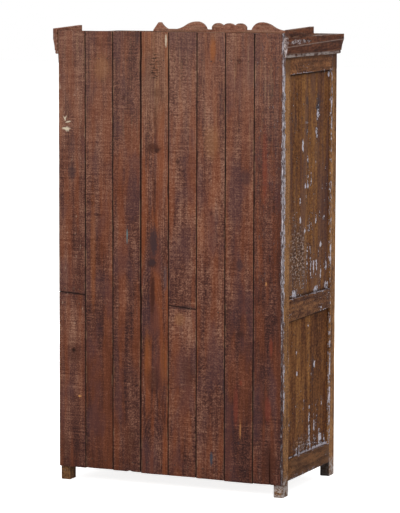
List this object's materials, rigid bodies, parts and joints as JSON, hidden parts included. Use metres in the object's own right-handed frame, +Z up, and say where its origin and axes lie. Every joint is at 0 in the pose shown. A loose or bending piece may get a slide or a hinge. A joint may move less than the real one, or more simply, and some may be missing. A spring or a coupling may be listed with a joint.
{
  "type": "display cabinet",
  "caption": "Tall wooden display cabinet with glazed upper doors, panelled lower doors, framed sides, a boarded back, a moulded cornice and a sawn crest.",
  "frame": {"origin": "on the floor, under the middle of the overall box", "axes": "+Z up; the front with its doors faces -Y and the boarded back +Y; +X to the right as seen from the front"},
  "size_m": [1.044, 0.621, 1.899],
  "materials": {
    "back_board_wood": "rough-sawn, bare",
    "side_panel_wood": "worn, with paint left in the grain",
    "frame_wood": "worn",
    "cornice_wood": "worn, dark",
    "door_wood": "worn",
    "inside_wood": "planed, bare",
    "turned_wood": "turned, waxed",
    "pane_glass": "old window glass",
    "hinge_metal": "dark iron",
    "bolt_metal": "dark iron"
  },
  "bodies": {
    "case": {"front_left_post": "frame_wood", "front_right_post": "frame_wood", "back_left_post": "frame_wood", "back_right_post": "frame_wood", "left_side_rails": "frame_wood", "right_side_rails": "frame_wood", "left_upper_panel": "side_panel_wood", "left_lower_panel": "side_panel_wood", "right_upper_panel": "side_panel_wood", "right_lower_panel": "side_panel_wood", "back_rails": "frame_wood", "back_board_1": "back_board_wood", "back_board_2": "back_board_wood", "back_board_3": "back_board_wood", "back_board_4": "back_board_wood", "back_board_5": "back_board_wood", "back_board_6": "back_board_wood", "back_board_7": "back_board_wood", "back_board_8": "back_board_wood", "front_top_rail": "frame_wood", "front_middle_rail": "frame_wood", "front_bottom_rail": "frame_wood", "top_board": "inside_wood", "fixed_shelf": "inside_wood", "bottom_board": "inside_wood", "upper_shelves": "inside_wood", "lower_shelf": "inside_wood", "shelf_cleats": "inside_wood", "front_cornice": "cornice_wood", "left_cornice": "cornice_wood", "right_cornice": "cornice_wood", "left_riser": "cornice_wood", "right_riser": "cornice_wood", "crest": "cornice_wood", "crest_dowels": "inside_wood", "hinge_leaves_fixed": "hinge_metal", "hinge_pins": "hinge_metal"},
    "upper_left_door": {"upper_left_door_frame": "door_wood", "upper_left_glass": "pane_glass", "upper_left_beads": "door_wood", "upper_left_hinge_leaves": "hinge_metal", "upper_left_knob": "turned_wood", "upper_bolt_guides": "bolt_metal"},
    "upper_right_door": {"upper_right_door_frame": "door_wood", "upper_right_glass": "pane_glass", "upper_right_beads": "door_wood", "upper_right_hinge_leaves": "hinge_metal"},
    "lower_left_door": {"lower_left_door_frame": "door_wood", "lower_left_door_panel": "door_wood", "lower_left_hinge_leaves": "hinge_metal", "lower_left_knob": "turned_wood", "lower_bolt_guides": "bolt_metal"},
    "lower_right_door": {"lower_right_door_frame": "door_wood", "lower_right_door_panel": "door_wood", "lower_right_hinge_leaves": "hinge_metal"},
    "upper_latch_turn": {"upper_latch": "turned_wood"},
    "lower_latch_turn": {"lower_latch": "turned_wood"},
    "upper_bolt_slide": {"upper_bolt": "bolt_metal"},
    "lower_bolt_slide": {"lower_bolt": "bolt_metal"}
  },
  "joints": [
    {"name": "upper_left_door_swing", "type": "hinge", "parent": "case", "child": "upper_left_door", "pos_m": [-0.4563, -0.2872, 1.2525], "axis": [0, 0, -1], "range_deg": [0, 165]},
    {"name": "upper_right_door_swing", "type": "hinge", "parent": "case", "child": "upper_right_door", "pos_m": [0.4563, -0.2872, 1.2525], "axis": [0, 0, 1], "range_deg": [0, 165]},
    {"name": "lower_left_door_swing", "type": "hinge", "parent": "case", "child": "lower_left_door", "pos_m": [-0.4563, -0.2872, 0.428], "axis": [0, 0, -1], "range_deg": [0, 165]},
    {"name": "lower_right_door_swing", "type": "hinge", "parent": "case", "child": "lower_right_door", "pos_m": [0.4563, -0.2872, 0.428], "axis": [0, 0, 1], "range_deg": [0, 165]},
    {"name": "upper_latch_turning", "type": "hinge", "parent": "upper_right_door", "child": "upper_latch_turn", "pos_m": [0.029, -0.2825, 1.2525], "axis": [0, 1, 0], "range_deg": [0, 90]},
    {"name": "lower_latch_turning", "type": "hinge", "parent": "lower_right_door", "child": "lower_latch_turn", "pos_m": [0.029, -0.2825, 0.428], "axis": [0, 1, 0], "range_deg": [0, 90]},
    {"name": "upper_bolt_sliding", "type": "slide", "parent": "upper_left_door", "child": "upper_bolt_slide", "axis": [0, 0, 1], "range_m": [0, 0.014]},
    {"name": "lower_bolt_sliding", "type": "slide", "parent": "lower_left_door", "child": "lower_bolt_slide", "axis": [0, 0, 1], "range_m": [0, 0.014]}
  ]
}
